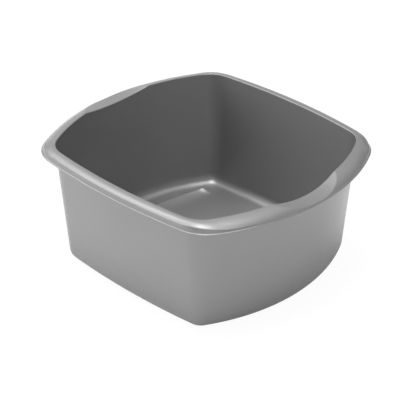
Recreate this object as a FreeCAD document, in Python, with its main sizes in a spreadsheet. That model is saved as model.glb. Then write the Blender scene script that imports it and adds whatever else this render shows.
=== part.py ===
import FreeCAD, Part
import Sketcher
import math
import os

# Washing-up bowl. The real bowl is one injection moulding, modelled here in its zones:
# a floor with two raised ramps, four walls, four corners, two side rims and two end grips.
# It stands on z = 0 with its middle on the Z axis. X runs lengthwise, from one bowed end
# to the other, and Y runs across. All lengths are in millimetres.

SIZES = {
    "bowl_height": 150.0,
    "wall_thickness": 2.0,
    "floor_thickness": 2.4,
    # half the turn, in degrees, of the arc along each end and along each side, at every level
    "end_half_angle": 27.7,
    "side_half_angle": 6.9,
    # outside of the wall, drawn out to the height of the rim's top
    "mouth_length": 302.9,
    "mouth_width": 281.9,
    "mouth_corner_radius": 26.5,
    # how far the foot of the wall is set in from its top
    "end_taper": 9.85,
    "side_taper": 13.3,
    "base_corner_radius": 21.2,
    "base_edge_radius": 14.0,
    # rim shoulder, where the top of the rim turns down
    "end_shoulder_reach": 12.2,
    "side_shoulder_reach": 10.05,
    "shoulder_corner_radius": 38.8,
    "shoulder_drop": 1.3,
    "shoulder_rounding": 3.0,
    # lower edge of the rim: an upright band, with a small lip along its foot that turns out
    "end_lip_reach": 22.4,
    "side_lip_reach": 11.2,
    "lip_corner_radius": 56.2,
    "rim_depth": 9.5,
    "band_height": 3.6,
    "rim_thickness": 1.8,
    "rim_inner_rounding": 4.0,
    "lip_height": 1.6,
    "lip_width": 1.2,
    # scoop across the rim at each end, where the hands go
    "grip_length": 96.0,
    "grip_dip": 5.8,
    # raised ramp on the floor at each end
    "ramp_height": 5.0,
    "ramp_length": 194.0,
    "ramp_ledge": 25.6,
    "ramp_bow": 10.0,
    "ramp_run": 39.0,
    "ramp_tip_run": 8.0,
    "ramp_end_run": 5.0,
    # where the moulding is divided: shares of the mouth's length and width
    "side_zone_share": 0.6,
    "end_zone_share": 0.68,
    # how far a cutting shape passes the surface that it cuts
    "overrun": 5.0,
}
TOLERANCE = 0.01
# how a sketch numbers the points of an arc or line, its two axes and its origin
START, END, CENTRE = range(1, 4)
X_AXIS, Y_AXIS = range(-1, -3, -1)
ORIGIN = (X_AXIS, START)

doc = FreeCAD.newDocument("WashingUpBowl")
sheet = doc.addObject("Spreadsheet::Sheet", "Size")
for row, (alias, value) in enumerate(SIZES.items(), start=1):
    sheet.set(f"A{row}", alias)
    sheet.set(f"B{row}", str(value))
    sheet.setAlias(f"B{row}", alias)
doc.recompute()

RIM_FOOT = "Size.bowl_height - Size.rim_depth"
BAND_TOP = f"{RIM_FOOT} + Size.band_height"
FLOOR_TOP = "Size.floor_thickness"
GRIP_RADIUS = "((Size.grip_length / 2) ^ 2 + Size.grip_dip ^ 2) / (2 * Size.grip_dip)"
SIDE_SPLIT = "Size.mouth_length / 2 * Size.side_zone_share"
END_SPLIT = "Size.mouth_width / 2 * Size.end_zone_share"
RIDGE_X = "Size.mouth_length / 2 - Size.end_taper - Size.ramp_ledge"
FAR_X = "(Size.mouth_length / 2 + Size.end_lip_reach + Size.overrun)"
FAR_Y = "(Size.mouth_width / 2 + Size.side_lip_reach + Size.overrun)"

# The plan outlines: each is a rectangle with bowed ends and sides and rounded corners.
OUTLINES = {
    "base": ("Size.mouth_length / 2 - Size.end_taper", "Size.mouth_width / 2 - Size.side_taper"),
    "mouth": ("Size.mouth_length / 2", "Size.mouth_width / 2"),
    "shoulder": (
        "Size.mouth_length / 2 + Size.end_shoulder_reach",
        "Size.mouth_width / 2 + Size.side_shoulder_reach",
    ),
    "lip": (
        "Size.mouth_length / 2 + Size.end_lip_reach",
        "Size.mouth_width / 2 + Size.side_lip_reach",
    ),
}


def bind(target, expressions):
    """Binds properties of an object to expressions on the sheet."""
    for path, expression in expressions.items():
        target.setExpression(path, expression)


def new_body(name):
    return doc.addObject("PartDesign::Body", name)


def level_sketch(body, name, level):
    """An empty sketch, parallel to the floor, at a level given by an expression."""
    plane = next(f for f in body.Origin.OriginFeatures if f.Role == "XY_Plane")
    sketch = body.newObject("Sketcher::SketchObject", name)
    sketch.AttachmentSupport = [(plane, "")]
    sketch.MapMode = "FlatFace"
    sketch.setExpression("AttachmentOffset.Base.z", level)
    return sketch


def name_constraint(sketch, constraint, name, expression):
    index = sketch.addConstraint(constraint)
    sketch.renameConstraint(index, name)
    sketch.setExpression("Constraints." + name, expression)


def outline_arcs(half_length, half_width, corner_radius, end_turn, side_turn):
    """The eight tangent arcs of a bowed rectangle, as centre, radius and angles, from the +X end."""
    side_start = math.pi / 2 - side_turn
    bulge_x = corner_radius * (math.cos(end_turn) - math.cos(side_start))
    bulge_y = corner_radius * (math.sin(end_turn) - math.sin(side_start))
    end_rise = 1 - math.cos(end_turn)
    side_rise = 1 - math.sin(side_start)
    spread = math.sin(end_turn) * math.cos(side_start) - end_rise * side_rise
    x_gap = half_length - bulge_x
    y_gap = half_width + bulge_y
    end_radius = (y_gap * math.cos(side_start) - x_gap * side_rise) / spread
    side_radius = (x_gap * math.sin(end_turn) - y_gap * end_rise) / spread
    end_x = half_length - end_radius
    side_y = half_width - side_radius
    corner_x = end_x + (end_radius - corner_radius) * math.cos(end_turn)
    corner_y = (end_radius - corner_radius) * math.sin(end_turn)
    half_turn = math.pi
    return [
        (end_x, 0, end_radius, -end_turn, end_turn),
        (corner_x, corner_y, corner_radius, end_turn, side_start),
        (0, side_y, side_radius, side_start, half_turn - side_start),
        (-corner_x, corner_y, corner_radius, half_turn - side_start, half_turn - end_turn),
        (-end_x, 0, end_radius, half_turn - end_turn, half_turn + end_turn),
        (-corner_x, -corner_y, corner_radius, half_turn + end_turn, half_turn + side_start),
        (0, -side_y, side_radius, half_turn + side_start, 2 * half_turn - side_start),
        (corner_x, -corner_y, corner_radius, -side_start, -end_turn),
    ]


def outline_sketch(body, outline, level, offset="0"):
    """A closed sketch of eight tangent arcs: one of the plan outlines, moved out by an offset."""
    sketch = level_sketch(body, body.Name + "_" + outline, level)
    half_length, half_width = OUTLINES[outline]
    lengths = {
        "HalfLength": half_length,
        "HalfWidth": half_width,
        "CornerRadius": f"Size.{outline}_corner_radius",
    }
    for name, expression in lengths.items():
        sketch.addProperty("App::PropertyFloat", name, "Outline")
        sketch.setExpression(name, f"{expression} + ({offset})")
    sketch.recompute()

    end_turn = math.radians(sheet.end_half_angle)
    side_turn = math.radians(sheet.side_half_angle)
    arcs = outline_arcs(sketch.HalfLength, sketch.HalfWidth, sketch.CornerRadius, end_turn, side_turn)
    up = FreeCAD.Vector(0, 0, 1)
    for x, y, radius, start, stop in arcs:
        circle = Part.Circle(FreeCAD.Vector(x, y, 0), up, radius)
        sketch.addGeometry(Part.ArcOfCircle(circle, start, stop))

    right, corner, back, left, front = 0, 1, 2, 4, 6
    for arc in range(len(arcs)):
        following = (arc + 1) % len(arcs)
        sketch.addConstraint(Sketcher.Constraint("Tangent", arc, END, following, START))
    for first, second in ((right, left), (back, front), (corner, 3), (corner, 5), (corner, 7)):
        sketch.addConstraint(Sketcher.Constraint("Equal", first, second))
    rounding = Sketcher.Constraint("Radius", corner, sketch.CornerRadius)
    name_constraint(sketch, rounding, "corner", "CornerRadius")
    turns = (
        (right, end_turn, "end_turn", "end_half_angle"),
        (back, side_turn, "side_turn", "side_half_angle"),
    )
    for arc, turn, name, alias in turns:
        span = Sketcher.Constraint("Angle", arc, 2 * turn)
        name_constraint(sketch, span, name, f"2 deg * Size.{alias}")
    extremes = (
        (right, X_AXIS, "DistanceX", FreeCAD.Vector(sketch.HalfLength, 0, 0), "HalfLength"),
        (back, Y_AXIS, "DistanceY", FreeCAD.Vector(0, sketch.HalfWidth, 0), "HalfWidth"),
        (left, X_AXIS, "DistanceX", FreeCAD.Vector(-sketch.HalfLength, 0, 0), "HalfLength"),
        (front, Y_AXIS, "DistanceY", FreeCAD.Vector(0, -sketch.HalfWidth, 0), "HalfWidth"),
    )
    for arc, axis, kind, place, length in extremes:
        sketch.addConstraint(Sketcher.Constraint("PointOnObject", arc, CENTRE, axis))
        point = sketch.addGeometry(Part.Point(place), True)
        sketch.addConstraint(Sketcher.Constraint("PointOnObject", point, START, axis))
        sketch.addConstraint(Sketcher.Constraint("PointOnObject", point, START, arc))
        ends = (*ORIGIN, point, START)
        if arc in (left, front):
            ends = (point, START, *ORIGIN)
        distance = Sketcher.Constraint(kind, *ends, getattr(sketch, length))
        name_constraint(sketch, distance, f"extreme{arc}", length)
    return sketch


def loft(body, sections):
    """Adds a ruled loft through sections, each an outline, a level and an offset."""
    sketches = [outline_sketch(body, *section) for section in sections]
    feature = body.newObject("PartDesign::AdditiveLoft", body.Name + "_loft")
    feature.Profile = sketches[0]
    feature.Sections = sketches[1:]
    feature.Ruled = True
    return feature


def pad_up(body, sketch, length):
    feature = body.newObject("PartDesign::Pad", body.Name + "_pad")
    feature.Profile = sketch
    feature.setExpression("Length", length)
    return feature


def round_edges(body, base, height, radius):
    """Fillets the edges of a feature that lie at one height."""
    doc.recompute()
    names = []
    for number, edge in enumerate(base.Shape.Edges, start=1):
        box = edge.BoundBox
        if abs(box.ZMin - height) < TOLERANCE and abs(box.ZMax - height) < TOLERANCE:
            names.append(f"Edge{number}")
    feature = body.newObject("PartDesign::Fillet", body.Name + "_fillet")
    feature.Base = (base, names)
    feature.setExpression("Radius", radius)
    return feature


def boolean(kind, name, base, tool):
    """A Part::Cut, Part::Common or Part::Fuse of two objects."""
    result = doc.addObject("Part::" + kind, name)
    result.Base = base
    result.Tool = tool
    return result


def zone_box(name, x_from, x_to, y_from, y_to, z_from, z_to):
    """A box between limits given as expressions."""
    box = doc.addObject("Part::Box", name)
    bind(box, {
        "Length": f"{x_to} - ({x_from})",
        "Width": f"{y_to} - ({y_from})",
        "Height": f"{z_to} - ({z_from})",
        "Placement.Base.x": x_from,
        "Placement.Base.y": y_from,
        "Placement.Base.z": z_from,
    })
    return box


def scoop(name, radius):
    """A level cylinder along X, over both ends of the rim, whose lowest line is the foot of the grips."""
    cylinder = doc.addObject("Part::Cylinder", name)
    cylinder.Placement.Rotation = FreeCAD.Rotation(FreeCAD.Vector(0, 1, 0), 90)
    bind(cylinder, {
        "Radius": radius,
        "Height": f"2 * {FAR_X}",
        "Placement.Base.x": f"-{FAR_X}",
        "Placement.Base.z": f"Size.bowl_height - Size.grip_dip + {GRIP_RADIUS}",
    })
    return cylinder


def ramp_sketch(body, name, level, tip_x, middle_x, tip_y):
    """Plan of a ramp at one level: an arc towards the middle of the bowl, closed beyond the end wall."""
    sketch = level_sketch(body, f"{body.Name}_{name}", level)
    places = {"TipX": tip_x, "MiddleX": middle_x, "TipY": tip_y, "FarX": FAR_X}
    for key, expression in places.items():
        sketch.addProperty("App::PropertyFloat", key, "Outline")
        sketch.setExpression(key, expression)
    sketch.recompute()
    far_front = FreeCAD.Vector(sketch.FarX, -sketch.TipY, 0)
    far_back = FreeCAD.Vector(sketch.FarX, sketch.TipY, 0)
    tip_back = FreeCAD.Vector(sketch.TipX, sketch.TipY, 0)
    tip_front = FreeCAD.Vector(sketch.TipX, -sketch.TipY, 0)
    middle = FreeCAD.Vector(sketch.MiddleX, 0, 0)
    far = sketch.addGeometry(Part.LineSegment(far_front, far_back))
    back = sketch.addGeometry(Part.LineSegment(far_back, tip_back))
    front = sketch.addGeometry(Part.LineSegment(tip_front, far_front))
    arc = sketch.addGeometry(Part.Arc(tip_back, middle, tip_front))
    summit = sketch.addGeometry(Part.Point(middle), True)

    # an arc runs anticlockwise, so which of its ends is at the back depends on which way it bows
    arc_back, arc_front = (START, END) if sketch.MiddleX < sketch.TipX else (END, START)
    sketch.addConstraint([
        Sketcher.Constraint("Coincident", far, END, back, START),
        Sketcher.Constraint("Coincident", back, END, arc, arc_back),
        Sketcher.Constraint("Coincident", arc, arc_front, front, START),
        Sketcher.Constraint("Coincident", front, END, far, START),
        Sketcher.Constraint("Vertical", far),
        Sketcher.Constraint("Horizontal", back),
        Sketcher.Constraint("Horizontal", front),
        Sketcher.Constraint("Symmetric", back, END, front, START, X_AXIS),
        Sketcher.Constraint("PointOnObject", summit, START, arc),
        Sketcher.Constraint("PointOnObject", summit, START, X_AXIS),
    ])
    distances = (
        ("DistanceX", back, END, "TipX"),
        ("DistanceY", back, END, "TipY"),
        ("DistanceX", summit, START, "MiddleX"),
        ("DistanceX", far, END, "FarX"),
    )
    for kind, item, point, key in distances:
        distance = Sketcher.Constraint(kind, *ORIGIN, item, point, getattr(sketch, key))
        name_constraint(sketch, distance, "to" + key, key)
    return sketch


def foot_sketch(body, level):
    tip_x = f"{RIDGE_X} - Size.ramp_bow - Size.ramp_tip_run"
    middle_x = f"{RIDGE_X} - Size.ramp_run"
    return ramp_sketch(body, "foot", level, tip_x, middle_x, "Size.ramp_length / 2")


def ridge_sketch(body, level):
    tip_x = f"{RIDGE_X} - Size.ramp_bow"
    tip_y = "Size.ramp_length / 2 - Size.ramp_end_run"
    return ramp_sketch(body, "ridge", level, tip_x, RIDGE_X, tip_y)


def ramp_blank(name, turn, level):
    """A low crescent: a level ledge beside the end wall, and a slope down to the middle of the floor."""
    body = new_body(name)
    feature = body.newObject("PartDesign::AdditiveLoft", name + "_loft")
    feature.Profile = foot_sketch(body, level)
    feature.Sections = [ridge_sketch(body, f"{level} + Size.ramp_height")]
    feature.Ruled = True
    body.Placement.Rotation = FreeCAD.Rotation(FreeCAD.Vector(0, 0, 1), turn)
    return body


def ramp_prism(name, turn):
    """Everything above and below the plan of a ramp."""
    body = new_body(name)
    pad_up(body, foot_sketch(body, "-Size.overrun"), f"Size.overrun + {FLOOR_TOP} + Size.overrun")
    body.Placement.Rotation = FreeCAD.Rotation(FreeCAD.Vector(0, 0, 1), turn)
    return body


# The solid that the outside of the wall bounds, with its rounded lower edge.
wall_outside = new_body("wall_outside")
wall_loft = loft(wall_outside, [("mouth", "Size.bowl_height"), ("base", "0")])
round_edges(wall_outside, wall_loft, 0, "Size.base_edge_radius")

# The space inside the bowl, with the flare that rounds the inner edge of the rim.
basin = new_body("basin")
basin_loft = loft(basin, [
    ("mouth", "Size.bowl_height", "-Size.wall_thickness"),
    ("base", FLOOR_TOP, "-Size.wall_thickness"),
])
round_edges(basin, basin_loft, sheet.floor_thickness, "Size.base_edge_radius - Size.wall_thickness")
clear_of_rim = "Size.rim_inner_rounding + Size.overrun"
above_rim = outline_sketch(basin, "lip", "Size.bowl_height", clear_of_rim)
basin_top = pad_up(basin, above_rim, clear_of_rim)
round_edges(basin, basin_top, sheet.bowl_height, "Size.rim_inner_rounding")

# The solid that the top and the outer face of the rim bound, with the lip along its foot.
rim_outside = new_body("rim_outside")
rim_loft = loft(rim_outside, [
    ("mouth", "Size.bowl_height", "Size.rim_inner_rounding - Size.wall_thickness"),
    ("shoulder", "Size.bowl_height - Size.shoulder_drop"),
    ("lip", BAND_TOP, "-Size.lip_width"),
    ("lip", RIM_FOOT, "-Size.lip_width"),
])
round_edges(rim_outside, rim_loft, sheet.bowl_height - sheet.shoulder_drop, "Size.shoulder_rounding")
pad_up(rim_outside, outline_sketch(rim_outside, "lip", RIM_FOOT), "Size.lip_height")

# The channel under the rim, between the wall and the skirt of the rim.
channel = new_body("channel")
loft(channel, [
    ("mouth", "Size.bowl_height - Size.rim_thickness", "Size.rim_inner_rounding - Size.wall_thickness"),
    ("shoulder", "Size.bowl_height - Size.shoulder_drop - Size.rim_thickness", "-Size.rim_thickness"),
    ("lip", f"{BAND_TOP} - Size.rim_thickness / 2", "-Size.lip_width - Size.rim_thickness"),
    ("lip", RIM_FOOT, "-Size.lip_width - Size.rim_thickness"),
])
channel_beside_wall = boolean("Cut", "channel_beside_wall", channel, wall_outside)
scoop_skin = scoop("scoop_skin", f"{GRIP_RADIUS} + Size.rim_thickness")
channel_under_grip = boolean("Cut", "channel_under_grip", channel_beside_wall, scoop_skin)

# The whole ring of the rim, and the whole shell of the wall and floor.
rim_hollowed = boolean("Cut", "rim_hollowed", rim_outside, channel_under_grip)
rim_opened = boolean("Cut", "rim_opened", rim_hollowed, basin)
rim_ring = boolean("Cut", "rim_ring", rim_opened, scoop("scoop", GRIP_RADIUS))
shell = boolean("Cut", "shell", wall_outside, basin)

# The flat of the floor, inside the rounded lower edge.
floor_plug = new_body("floor_plug")
floor_outline = outline_sketch(floor_plug, "base", "-Size.overrun", "-Size.base_edge_radius")
pad_up(floor_plug, floor_outline, f"Size.overrun + {FLOOR_TOP} + Size.overrun")
floor_flat = boolean("Common", "floor_flat", shell, floor_plug)

# A ramp at each end, as thick as the floor, with a recess under it.
nodes = []
floor_rest = floor_flat
for side, turn in (("right", 0), ("left", 180)):
    prism = ramp_prism(side + "_ramp_prism", turn)
    upper = ramp_blank(side + "_upper_blank", turn, FLOOR_TOP)
    lower = ramp_blank(side + "_lower_blank", turn, "0")
    raised = boolean("Common", side + "_ramp_raised", upper, basin)
    slab = boolean("Common", side + "_ramp_slab", floor_flat, prism)
    recess = boolean("Common", side + "_ramp_recess", lower, floor_plug)
    filled = boolean("Fuse", side + "_ramp_filled", raised, slab)
    nodes.append(boolean("Cut", side + "_floor_ramp", filled, recess))
    floor_rest = boolean("Cut", "floor_without_" + side, floor_rest, prism)
floor_rest.Label = "floor_panel"
nodes.append(floor_rest)

# The walls and corners, up to the foot of the rim.
PLUS_X = (SIDE_SPLIT, FAR_X)
MINUS_X = ("-" + FAR_X, f"-({SIDE_SPLIT})")
PLUS_Y = (END_SPLIT, FAR_Y)
MINUS_Y = ("-" + FAR_Y, f"-({END_SPLIT})")
MIDDLE_X = (f"-({SIDE_SPLIT})", SIDE_SPLIT)
MIDDLE_Y = (f"-({END_SPLIT})", END_SPLIT)
WALL_ZONES = {
    "front_wall": (MIDDLE_X, MINUS_Y),
    "back_wall": (MIDDLE_X, PLUS_Y),
    "left_wall": (MINUS_X, MIDDLE_Y),
    "right_wall": (PLUS_X, MIDDLE_Y),
    "front_left_corner": (MINUS_X, MINUS_Y),
    "front_right_corner": (PLUS_X, MINUS_Y),
    "back_left_corner": (MINUS_X, PLUS_Y),
    "back_right_corner": (PLUS_X, PLUS_Y),
}
for name, (x_range, y_range) in WALL_ZONES.items():
    zone = zone_box(name + "_zone", *x_range, *y_range, "-Size.overrun", RIM_FOOT)
    whole = boolean("Common", name + "_and_floor", shell, zone)
    nodes.append(boolean("Cut", name, whole, floor_plug))

# The rim: the two sides, each with its corners, and the grips across the ends.
WHOLE_X = ("-" + FAR_X, FAR_X)
RIM_ZONES = {
    "front_rim": (WHOLE_X, MINUS_Y),
    "back_rim": (WHOLE_X, PLUS_Y),
    "left_grip": (MINUS_X, MIDDLE_Y),
    "right_grip": (PLUS_X, MIDDLE_Y),
}
for name, (x_range, y_range) in RIM_ZONES.items():
    zone = zone_box(name + "_zone", *x_range, *y_range, RIM_FOOT, "Size.bowl_height + Size.overrun")
    nodes.append(boolean("Common", name, rim_ring, zone))

doc.recompute()
for item in doc.Objects:
    if "Invalid" in item.State or "Error" in item.State:
        raise RuntimeError(f"{item.Name} failed: {item.State}")
for node in nodes:
    if node.Shape.isNull() or not node.Shape.isValid() or len(node.Shape.Solids) != 1:
        raise RuntimeError(f"{node.Label} is not one valid solid")

os.makedirs("parts", exist_ok=True)
for node in nodes:
    node.Shape.exportStep(os.path.join("parts", node.Label + ".step"))
    print(node.Label, round(node.Shape.Volume), "mm3")
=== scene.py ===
import math

import bpy
import numpy as np
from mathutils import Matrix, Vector


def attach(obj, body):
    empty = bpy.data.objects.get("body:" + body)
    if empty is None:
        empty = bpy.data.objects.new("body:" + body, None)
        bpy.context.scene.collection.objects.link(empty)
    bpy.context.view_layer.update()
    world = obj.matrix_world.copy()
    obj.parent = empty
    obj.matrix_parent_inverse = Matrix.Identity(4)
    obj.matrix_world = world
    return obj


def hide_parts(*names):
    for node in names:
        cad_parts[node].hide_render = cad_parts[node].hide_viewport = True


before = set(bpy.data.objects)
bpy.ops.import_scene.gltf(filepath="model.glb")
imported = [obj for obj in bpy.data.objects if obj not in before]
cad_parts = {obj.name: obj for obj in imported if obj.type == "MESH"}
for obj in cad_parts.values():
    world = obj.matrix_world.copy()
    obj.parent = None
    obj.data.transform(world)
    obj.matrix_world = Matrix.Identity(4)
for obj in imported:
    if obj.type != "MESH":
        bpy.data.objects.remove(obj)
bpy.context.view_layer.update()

# A washing up bowl in silver-grey plastic, as one seamless moulding.
# Sizes are in millimetres, in the CAD's own frame, as read from the photo with the rim's edge at 151.
# The mesh and the camera are brought to the CAD's height of 150 mm, and to metres, at the end.

HEIGHT = 151.0
TO_METRES = 0.150 / HEIGHT

# The wall thins towards the rim, from a height on.
WALL = 2.0
WALL_THINNING = 1.0
THINNING_FROM = 80.0

FLOOR_TOP = 6.7
BASE_ROUND = 12.8
INNER_ROUND = 11.5
EDGE_ROUND = 0.9
RIM_SKIN = 1.8

# Plan outlines: half length, half width, end radius, side radius, corner radius.
WALL_FOOT = np.array([141.2, 127.9, 230.4, 953.0, 18.6])
WALL_HEAD = np.array([155.0, 141.8, 244.1, 769.8, 35.4])
RIM_EDGE = np.array([155.2, 141.8, 244.0, 781.5, 33.5])
RIM_SHOULDER = np.array([163.67, 147.0, 250.0, 830.0, 40.0])
RIM_LIP = np.array([173.86, 153.3, 252.1, 825.5, 52.3])

# Section of the rim: a crowned top that falls away outwards, then the outer face and the lip,
# then the channel under it. Each row: half length and height at the ends, half width and height
# along the sides.
CROWN_END = {"start": 154.90, "stop": 172.30, "slope": 0.12, "square": 0.0142, "cube": 0.0002}
CROWN_SIDE = {"start": 141.80, "stop": 151.60, "slope": 0.08, "square": 0.0020, "cube": 0.0016}
RIM_FACE = np.array([
    (172.42, 143.42, 151.95, 148.25),
    (172.50, 143.26, 152.18, 147.85),
    (172.53, 143.12, 152.31, 147.30),
    (172.55, 143.00, 152.36, 146.70),
    (172.56, 142.86, 152.38, 145.80),
    (172.58, 142.68, 152.39, 144.20),
    (172.60, 142.40, 152.41, 142.30),
    (172.72, 142.06, 152.50, 141.84),
    (173.10, 141.80, 152.78, 141.60),
    (173.55, 141.52, 153.12, 141.40),
    (173.83, 141.16, 153.30, 141.05),
    (173.86, 140.66, 153.24, 140.45),
    (173.60, 140.24, 152.90, 140.05),
    (173.10, 140.10, 152.40, 139.92),
    (171.40, 140.10, 151.20, 139.92),
])
RIM_UNDER = np.array([
    (171.40, 140.10, 151.20, 139.92),
    (171.15, 140.40, 150.95, 140.25),
    (171.05, 141.30, 150.85, 141.90),
    (170.20, 142.60, 150.80, 144.20),
    (167.50, 145.00, 150.30, 146.40),
    (163.50, 147.00, 148.70, 147.60),
    (160.60, 148.00, 146.10, 148.60),
    (157.00, 148.90, 144.20, 149.10),
])
FACE_STEPS = 3
UNDER_STEPS = 2

# Changes to the end, side and corner radii: the shoulder is more bowed than the lip below it.
# The change goes over from the one to the other within the first rows of the face.
SHOULDER_EASE = np.array([-17.0, -150.0, 8.0])
LIP_EASE = np.array([0.0, 0.0, -5.0])
EASE_ROWS = 9

# The section goes over from the end's to the side's between these directions, in degrees from +X.
SECTION_TURN = (10.0, 66.0)
END_TURN = 27.7
CORNER_TURN = 55.4

# The scoop at each end: a cylinder along X, which falls outwards a little.
GRIP_LENGTH = 102.0
GRIP_DIP = 7.0
GRIP_FALL = 0.06
GRIP_RADIUS = ((GRIP_LENGTH / 2) ** 2 + GRIP_DIP ** 2) / (2 * GRIP_DIP)
GRIP_BLEND = 0.25
GRIP_FROM_X = 120
GRIP_TO_Y = 80
GRIP_WALL_FROM = 116
ABOVE_RIM = 50

# The ramp on the floor at each end: it rises from its foot to a ridge, then falls to a valley
# along the wall. Towards its tips it is a little higher, steeper behind and without a valley.
RAMP_HEIGHT = 4.0
TIP_RISE, TIP_REACH = 1.4, 7
VALLEY_HEIGHT, VALLEY_REACH = 0.8, 40
RAMP_FALL, TIP_FALL, FALL_REACH = 0.35, 0.6, 30
RIDGE_BLEND = 1.0
TIP_BLEND = 0.8
RIDGE_MIDDLE, RIDGE_TIP, RIDGE_HALF = 110.5, 97.5, 93.0
FOOT_MIDDLE, FOOT_TIP, FOOT_HALF = 77.0, 84.0, 96.5

# Where the rings of the mesh lie: heights on the wall, and shares of the floor's and base's outlines.
INNER_HEIGHTS = (18, 26, 38, 52, 66, 80, 94, 106, 116, 124, 130, 134, 138, 141, 143.5, 145.5, 147, 148.5)
OUTER_HEIGHTS = (HEIGHT - RIM_SKIN, 148, 146.5, 144, 140.5, 136, 128, 116, 102, 88, 74, 60, 46, 34, 24, 18)
BELOW_GRIP = 141
FLOOR_SHARES = np.concatenate([[0.5, 0.55], np.linspace(0.58, 1.0, 76)])
BASE_SHARES = np.concatenate([1 - np.array([0.004, 0.01, 0.016, 0.022, 0.028, 0.034, 0.04]),
                              np.linspace(0.95, 0.58, 30), [0.55, 0.5]])

# The recess under a ramp starts at the base's edge with this slope.
RECESS_SLOPE = 2.0
RECESS_BLEND = 0.3

# Columns round the bowl: shares along the end, corner and side arc of a quarter.
END_SHARES = np.concatenate([np.linspace(0, 0.5, 76), np.linspace(0.5, 1, 24)[1:]])
CORNER_SHARES = np.linspace(0, 1, 29)[1:]
SIDE_SHARES = np.linspace(0, 1, 25)[1:]


def smooth_min(a, b, reach):
    """The lower of two heights, rounded where they are within reach of each other."""
    overlap = np.maximum(reach - np.abs(a - b), 0) / reach
    return np.minimum(a, b) - overlap ** 2 * reach / 4


def smooth_max(a, b, reach):
    """The higher of two heights, rounded likewise."""
    return -smooth_min(-a, -b, reach)


def smoothstep(low, high, value):
    """A soft step from 0 to 1."""
    t = np.clip((value - low) / (high - low), 0, 1)
    return t * t * (3 - 2 * t)


def outline(shape):
    """Points of one plan outline, all the way round from the middle of the +X end."""
    half_length, half_width, end_radius, side_radius, corner_radius = shape
    end_x = half_length - end_radius
    side_y = half_width - side_radius
    # the corner's centre is where circles about the end's and the side's centres cross
    reach_end = end_radius - corner_radius
    reach_side = side_radius - corner_radius
    gap = math.hypot(end_x, side_y)
    along = (reach_end ** 2 - reach_side ** 2 + gap ** 2) / (2 * gap)
    across = math.sqrt(reach_end ** 2 - along ** 2)
    ux, uy = -end_x / gap, side_y / gap
    corner_x = end_x + along * ux - across * uy
    corner_y = along * uy + across * ux
    turn_end = math.atan2(corner_y, corner_x - end_x)
    turn_side = math.atan2(corner_y - side_y, corner_x)
    angle = np.concatenate([
        turn_end * END_SHARES,
        turn_end + (turn_side - turn_end) * CORNER_SHARES,
        turn_side + (math.pi / 2 - turn_side) * SIDE_SHARES,
    ])
    counts = (len(END_SHARES), len(CORNER_SHARES), len(SIDE_SHARES))
    centre_x = np.repeat((end_x, corner_x, 0.0), counts)
    centre_y = np.repeat((0.0, corner_y, side_y), counts)
    radius = np.repeat((end_radius, corner_radius, side_radius), counts)
    x = centre_x + radius * np.cos(angle)
    y = centre_y + radius * np.sin(angle)
    x = np.concatenate([x, -x[-2::-1], -x[1:], x[-2:0:-1]])
    y = np.concatenate([y, y[-2::-1], -y[1:], -y[-2:0:-1]])
    return x, y


def side_share():
    """How much of the side's section, rather than the end's, each column has."""
    turn = np.concatenate([
        END_TURN * END_SHARES,
        END_TURN + CORNER_TURN * CORNER_SHARES,
        END_TURN + CORNER_TURN + (90 - END_TURN - CORNER_TURN) * SIDE_SHARES,
    ])
    share = smoothstep(*SECTION_TURN, turn)
    return np.concatenate([share, share[-2::-1], share[1:], share[-2:0:-1]])


SIDE_SHARE = side_share()


def wall_outline(height, inset=0.0):
    """Outside of the wall at a height, moved in by an inset."""
    return WALL_FOOT + (WALL_HEAD - WALL_FOOT) * height / HEIGHT - inset


def inside_outline(height):
    """Inside of the wall at a height."""
    return wall_outline(height, WALL - WALL_THINNING * smoothstep(THINNING_FROM, HEIGHT, height))


def rim_outline(half_length, half_width, ease):
    """Rim outline through given half sizes, its radii read from the three known outlines, then eased."""
    if half_length < RIM_SHOULDER[0]:
        q = (half_length - RIM_EDGE[0]) / (RIM_SHOULDER[0] - RIM_EDGE[0])
    else:
        q = 1 + (half_length - RIM_SHOULDER[0]) / (RIM_LIP[0] - RIM_SHOULDER[0])
    shares = ((q - 1) * (q - 2) / 2, q * (2 - q), q * (q - 1) / 2)
    radii = sum(s * known[2:] for s, known in zip(shares, (RIM_EDGE, RIM_SHOULDER, RIM_LIP)))
    return np.array([half_length, half_width, *(radii + ease)])


def refine(rows, steps):
    """A smooth curve through rows of numbers, with some steps in each gap."""
    padded = np.vstack([2 * rows[0] - rows[1], rows, 2 * rows[-1] - rows[-2]])
    out = []
    for p0, p1, p2, p3 in zip(padded, padded[1:], padded[2:], padded[3:]):
        for t in np.arange(steps) / steps:
            out.append(p1 + (p2 - p0) * t / 2 + (2 * p0 - 5 * p1 + 4 * p2 - p3) * t ** 2 / 2
                       + (3 * p1 - p0 - 3 * p2 + p3) * t ** 3 / 2)
    out.append(rows[-1])
    return np.array(out)


def crown(sizes, share):
    """Half size and height across the crowned top of the rim."""
    run = (sizes["stop"] - sizes["start"]) * share
    drop = sizes["slope"] * run + sizes["square"] * run ** 2 + sizes["cube"] * run ** 3
    return sizes["start"] + run, HEIGHT - drop


def scoop_height(x, y):
    """Height of the scoop's cylinder, or far above the rim away from the ends."""
    drop = np.sqrt(np.maximum(GRIP_RADIUS ** 2 - y ** 2, 0))
    fall = GRIP_FALL * np.maximum(np.abs(x) - RIM_EDGE[0], 0)
    near_end = (np.abs(x) > GRIP_FROM_X) & (np.abs(y) < GRIP_TO_Y)
    return np.where(near_end, HEIGHT - GRIP_DIP + GRIP_RADIUS - drop - fall, HEIGHT + ABOVE_RIM)


def scoop_drop(x, y):
    """How far the scoop takes the inner edge of the rim down."""
    return HEIGHT - smooth_min(np.full_like(x, HEIGHT), scoop_height(x, y), GRIP_BLEND)


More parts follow.
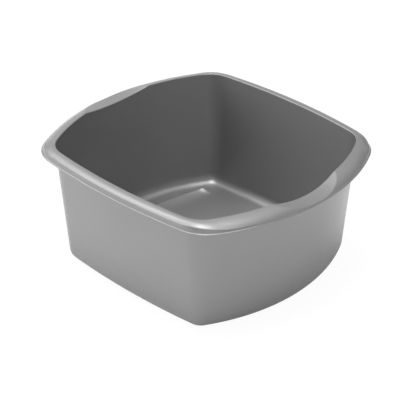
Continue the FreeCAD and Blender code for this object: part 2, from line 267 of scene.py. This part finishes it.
def arc_x(y, middle, tip, half):
    """X along an arc with its middle on the X axis and its tips at plus and minus half."""
    sag = abs(tip - middle)
    radius = (half ** 2 + sag ** 2) / (2 * sag)
    bow = radius - np.sqrt(radius ** 2 - np.minimum(np.abs(y), radius * 0.9) ** 2)
    return middle + math.copysign(1, tip - middle) * bow


def ramp_height(x, y):
    """How far the ramps stand above the floor."""
    x, y = np.abs(x), np.abs(y)
    ridge = arc_x(y, RIDGE_MIDDLE, RIDGE_TIP, RIDGE_HALF)
    foot = arc_x(y, FOOT_MIDDLE, FOOT_TIP, FOOT_HALF)
    crest = RAMP_HEIGHT + TIP_RISE * smoothstep(RIDGE_HALF - TIP_REACH, RIDGE_HALF, y)
    valley = VALLEY_HEIGHT * (1 - smoothstep(RIDGE_HALF - VALLEY_REACH, RIDGE_HALF, y))
    slope = crest * np.maximum((x - foot) / (ridge - foot), 0) ** 2
    fall = RAMP_FALL + TIP_FALL * smoothstep(RIDGE_HALF - FALL_REACH, RIDGE_HALF, y)
    behind = smooth_max(crest - fall * (x - ridge), valley, RIDGE_BLEND)
    side = crest * np.maximum((FOOT_HALF - y) / (FOOT_HALF - RIDGE_HALF), 0)
    return np.maximum(smooth_min(smooth_min(slope, behind, RIDGE_BLEND), side, TIP_BLEND), 0)


rings = []


def add_ring(x, y, z):
    """One ring of points round the bowl."""
    rings.append(np.column_stack([x, y, np.broadcast_to(z, x.shape)]))


def rim_rings(rows):
    """Plan outline and height of each ring of the rim, before the scoop is cut."""
    for half_length, end_z, half_width, side_z, *ease in rows:
        x, y = outline(rim_outline(half_length, half_width, ease))
        yield x, y, end_z + (side_z - end_z) * SIDE_SHARE


# Floor, from the flat middle out to the rounding at the foot of the wall.
edge_x, edge_y = outline(wall_outline(FLOOR_TOP, WALL + INNER_ROUND))
for share in FLOOR_SHARES:
    x, y = edge_x * share, edge_y * share
    add_ring(x, y, FLOOR_TOP + ramp_height(x, y))
for angle in np.radians(np.linspace(6, 87, 15)):
    z = FLOOR_TOP + INNER_ROUND * (1 - math.cos(angle))
    x, y = outline(wall_outline(z, WALL + INNER_ROUND * (1 - math.sin(angle))))
    add_ring(x, y, z + ramp_height(edge_x, edge_y) * math.cos(angle))

# Inside of the wall, which ends lower where the rim is scooped.
wall_top = HEIGHT - EDGE_ROUND
for z in INNER_HEIGHTS:
    x, y = outline(inside_outline(z))
    lowered = np.clip((z - GRIP_WALL_FROM) / (wall_top - GRIP_WALL_FROM), 0, 1)
    add_ring(x, y, z - scoop_drop(x, y) * lowered)

# Crisp inner edge of the rim.
crown_shares = np.linspace(0, 1, 25)
crown_rows = np.column_stack([*crown(CROWN_END, crown_shares), *crown(CROWN_SIDE, crown_shares)])
inner_start = inside_outline(wall_top)
inner_end = rim_outline(crown_rows[0, 0], crown_rows[0, 2], 0)
for angle in np.radians(np.linspace(0, 90, 9)[:-1]):
    x, y = outline(inner_start + (inner_end - inner_start) * (1 - math.cos(angle)))
    add_ring(x, y, wall_top + EDGE_ROUND * math.sin(angle) - scoop_drop(x, y))

# Top and outer face of the rim, then the channel under it.
crown_ease = np.outer(smoothstep(0.0, 1.0, crown_shares), SHOULDER_EASE)
face_shares = np.minimum(np.arange(1, len(RIM_FACE) + 1) / EASE_ROWS, 1)
face_ease = SHOULDER_EASE + np.outer(face_shares, LIP_EASE - SHOULDER_EASE)
under_ease = np.outer(np.linspace(1, 0, len(RIM_UNDER)), LIP_EASE)
face_rows = np.hstack([np.vstack([crown_rows, RIM_FACE]), np.vstack([crown_ease, face_ease])])
under_rows = np.hstack([RIM_UNDER, under_ease])
for x, y, z in rim_rings(refine(face_rows, FACE_STEPS)):
    add_ring(x, y, smooth_min(z, scoop_height(x, y), GRIP_BLEND))
for x, y, z in rim_rings(refine(under_rows, UNDER_STEPS)[1:]):
    add_ring(x, y, np.minimum(z, scoop_height(x, y) - RIM_SKIN))

# Outside of the wall, down to the rounded base.
for z in OUTER_HEIGHTS:
    x, y = outline(wall_outline(z))
    add_ring(x, y, np.minimum(z, scoop_height(x, y) - RIM_SKIN) if z > BELOW_GRIP else z)
for angle in np.radians(np.linspace(3, 90, 16)):
    z = BASE_ROUND * (1 - math.sin(angle))
    x, y = outline(wall_outline(z, BASE_ROUND * (1 - math.cos(angle))))
    add_ring(x, y, z)

# Underside, with the recess below each ramp.
base_edge = wall_outline(0, BASE_ROUND)
base_x, base_y = outline(base_edge)
for share in BASE_SHARES:
    x, y = base_x * share, base_y * share
    depth = (1 - share) * base_edge[0] * RECESS_SLOPE
    add_ring(x, y, smooth_min(ramp_height(x, y), np.full_like(x, depth), RECESS_BLEND))

# The rings are joined by quads, and the flat middles of floor and underside close the shell.
points = np.array(rings) * TO_METRES
ring_count, column_count, _ = points.shape
index = np.arange(ring_count * column_count).reshape(ring_count, column_count)
following = np.roll(index, -1, axis=1)
quads = np.stack([index[:-1], index[1:], following[1:], following[:-1]], axis=-1).reshape(-1, 4)
faces = [tuple(q) for q in quads.tolist()]
faces.append(tuple(index[0].tolist()))
faces.append(tuple(index[-1][::-1].tolist()))

mesh = bpy.data.meshes.new("bowl_moulding")
mesh.from_pydata(points.reshape(-1, 3).tolist(), [], faces)
mesh.shade_smooth()
mesh.validate()
bowl = bpy.data.objects.new("bowl_moulding", mesh)
bpy.context.collection.objects.link(bowl)


def node(tree, kind, **values):
    """A new shader node, with values for its inputs or its own settings."""
    made = tree.nodes.new(kind)
    for name, value in values.items():
        if name in made.inputs:
            made.inputs[name].default_value = value
        else:
            setattr(made, name, value)
    return made


def silver_plastic():
    """Silver-grey plastic: metal flake, a glossy skin, uneven gloss and a little orange peel."""
    material = bpy.data.materials.new("silver_plastic")
    material.use_nodes = True
    tree = material.node_tree
    shader = tree.nodes["Principled BSDF"]
    shader.inputs["Metallic"].default_value = 0.8
    shader.inputs["IOR"].default_value = 1.5
    shader.inputs["Coat Weight"].default_value = 1.0
    shader.inputs["Coat Roughness"].default_value = 0.2
    shader.inputs["Coat IOR"].default_value = 1.6
    place = node(tree, "ShaderNodeTexCoord")

    flake = node(tree, "ShaderNodeTexNoise", Scale=1600.0, Detail=2.0)
    cloud = node(tree, "ShaderNodeTexNoise", Scale=14.0, Detail=3.0)
    peel = node(tree, "ShaderNodeTexNoise", Scale=260.0, Detail=2.0)
    for texture in (flake, cloud, peel):
        tree.links.new(place.outputs["Object"], texture.inputs["Vector"])

    tint = node(tree, "ShaderNodeValToRGB")
    tint.color_ramp.elements[0].position = 0.3
    tint.color_ramp.elements[0].color = (0.34, 0.34, 0.342, 1)
    tint.color_ramp.elements[1].position = 0.7
    tint.color_ramp.elements[1].color = (0.38, 0.38, 0.382, 1)
    tree.links.new(flake.outputs["Fac"], tint.inputs["Fac"])
    tree.links.new(tint.outputs["Color"], shader.inputs["Base Color"])

    gloss = node(tree, "ShaderNodeMapRange")
    gloss.inputs["From Min"].default_value = 0.3
    gloss.inputs["From Max"].default_value = 0.7
    gloss.inputs["To Min"].default_value = 0.52
    gloss.inputs["To Max"].default_value = 0.58
    tree.links.new(cloud.outputs["Fac"], gloss.inputs["Value"])
    tree.links.new(gloss.outputs["Result"], shader.inputs["Roughness"])

    bump = node(tree, "ShaderNodeBump", Strength=0.03, Distance=0.0004)
    tree.links.new(peel.outputs["Fac"], bump.inputs["Height"])
    tree.links.new(bump.outputs["Normal"], shader.inputs["Normal"])
    return material


bowl.data.materials.append(silver_plastic())
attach(bowl, "root")
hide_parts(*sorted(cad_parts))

# How the floor shows to some rays: which rays, its own glow, and its matt colour on top of that.
FLOOR_COLOUR = 0.8
FLOOR_SHOWS = (
    (("Is Glossy Ray", "Is Transmission Ray"), 0.20, 0.65),
    (("Is Camera Ray",), 0.95, 0.08),
)
FLOOR_HALF = 5
FLOOR_Z = -0.0005


def grey(level):
    """A neutral colour."""
    return (level, level, level, 1)


def white_floor():
    """A floor that shows white to the camera and pale in the plastic, and keeps the shadow in both."""
    material = bpy.data.materials.new("white_floor")
    material.use_nodes = True
    tree = material.node_tree
    tree.nodes.clear()
    out = node(tree, "ShaderNodeOutputMaterial")
    path = node(tree, "ShaderNodeLightPath")
    surface = node(tree, "ShaderNodeBsdfDiffuse", Color=grey(FLOOR_COLOUR)).outputs["BSDF"]
    for rays, glow, shade in FLOOR_SHOWS:
        white = node(tree, "ShaderNodeEmission", Strength=glow)
        matt = node(tree, "ShaderNodeBsdfDiffuse", Color=grey(shade))
        seen = node(tree, "ShaderNodeAddShader")
        tree.links.new(white.outputs["Emission"], seen.inputs[0])
        tree.links.new(matt.outputs["BSDF"], seen.inputs[1])
        either = node(tree, "ShaderNodeMath", operation="MAXIMUM")
        either.inputs[1].default_value = 0
        for socket, ray in zip(either.inputs, rays):
            tree.links.new(path.outputs[ray], socket)
        mix = node(tree, "ShaderNodeMixShader")
        tree.links.new(either.outputs["Value"], mix.inputs["Fac"])
        tree.links.new(surface, mix.inputs[1])
        tree.links.new(seen.outputs["Shader"], mix.inputs[2])
        surface = mix.outputs["Shader"]
    tree.links.new(surface, out.inputs["Surface"])
    return material


floor_mesh = bpy.data.meshes.new("studio_floor")
floor_corners = [(-1, -1), (1, -1), (1, 1), (-1, 1)]
floor_mesh.from_pydata([(x * FLOOR_HALF, y * FLOOR_HALF, 0) for x, y in floor_corners], [], [(0, 1, 2, 3)])
floor = bpy.data.objects.new("studio_floor", floor_mesh)
floor.location.z = FLOOR_Z
floor.data.materials.append(white_floor())
bpy.context.collection.objects.link(floor)


def direction(azimuth, elevation):
    """Unit vector from the bowl, in degrees; azimuth 0 is the front, -Y, and 90 the right end, +X."""
    a, e = math.radians(azimuth), math.radians(elevation)
    return Vector((math.sin(a) * math.cos(e), -math.cos(a) * math.cos(e), math.sin(e)))


# Studio: soft panels round the bowl and overhead, as azimuth, elevation, sharpness and strength.
PANELS = {
    "low, front right": (60, 10, 8, 1.0),
    "low, right": (116, 10, 12, 0.5),
    "low, back left": (234, 10, 9, 0.7),
    "low, front left": (324, 10, 14, 2.1),
    "key, left": (288, 32, 24, 2.6),
    "fill, front left": (324, 32, 24, 1.3),
    "fill, back": (182, 40, 14, 0.9),
    "high, left": (264, 58, 36, 4.0),
    "overhead": (0, 90, 80, 12.0),
    "overhead, front": (0, 76, 80, 7.5),
    "overhead, right": (120, 76, 80, 3.5),
}
world = bpy.data.worlds.new("studio")
bpy.context.scene.world = world
world.use_nodes = True
tree = world.node_tree
place = node(tree, "ShaderNodeTexCoord")
light = None
for azimuth, elevation, sharpness, strength in PANELS.values():
    facing = node(tree, "ShaderNodeVectorMath", operation="DOT_PRODUCT")
    facing.inputs[1].default_value = direction(azimuth, elevation)
    tree.links.new(place.outputs["Generated"], facing.inputs[0])
    in_front = node(tree, "ShaderNodeMath", operation="MAXIMUM")
    in_front.inputs[1].default_value = 0
    tree.links.new(facing.outputs["Value"], in_front.inputs[0])
    spread = node(tree, "ShaderNodeMath", operation="POWER")
    spread.inputs[1].default_value = sharpness
    tree.links.new(in_front.outputs["Value"], spread.inputs[0])
    added = node(tree, "ShaderNodeMath", operation="MULTIPLY_ADD")
    added.inputs[1].default_value = strength
    added.inputs[2].default_value = 0
    tree.links.new(spread.outputs["Value"], added.inputs[0])
    if light:
        tree.links.new(light, added.inputs[2])
    light = added.outputs["Value"]
tree.nodes["Background"].inputs["Color"].default_value = grey(1)
tree.links.new(light, tree.nodes["Background"].inputs["Strength"])

# Camera at the photo's place: it looks at the middle of the bowl's height, shifted as the photo is cropped.
CAMERA_AZIMUTH, CAMERA_ELEVATION = 44.79, 30.59
CAMERA_DISTANCE = 2006.66
AIM_HEIGHT = 75
camera_data = bpy.data.cameras.new("camera")
camera_data.sensor_width = 36.0
camera_data.lens = 154.98
camera_data.shift_x = -0.0156
camera_data.shift_y = -0.0040
camera_data.clip_end = 50
camera = bpy.data.objects.new("camera", camera_data)
back = direction(CAMERA_AZIMUTH, CAMERA_ELEVATION)
camera.location = (Vector((0, 0, AIM_HEIGHT)) + back * CAMERA_DISTANCE) * TO_METRES
camera.rotation_euler = (-back).to_track_quat("-Z", "Y").to_euler()
bpy.context.collection.objects.link(camera)
bpy.context.scene.camera = camera

bpy.context.scene.view_settings.view_transform = "Standard"
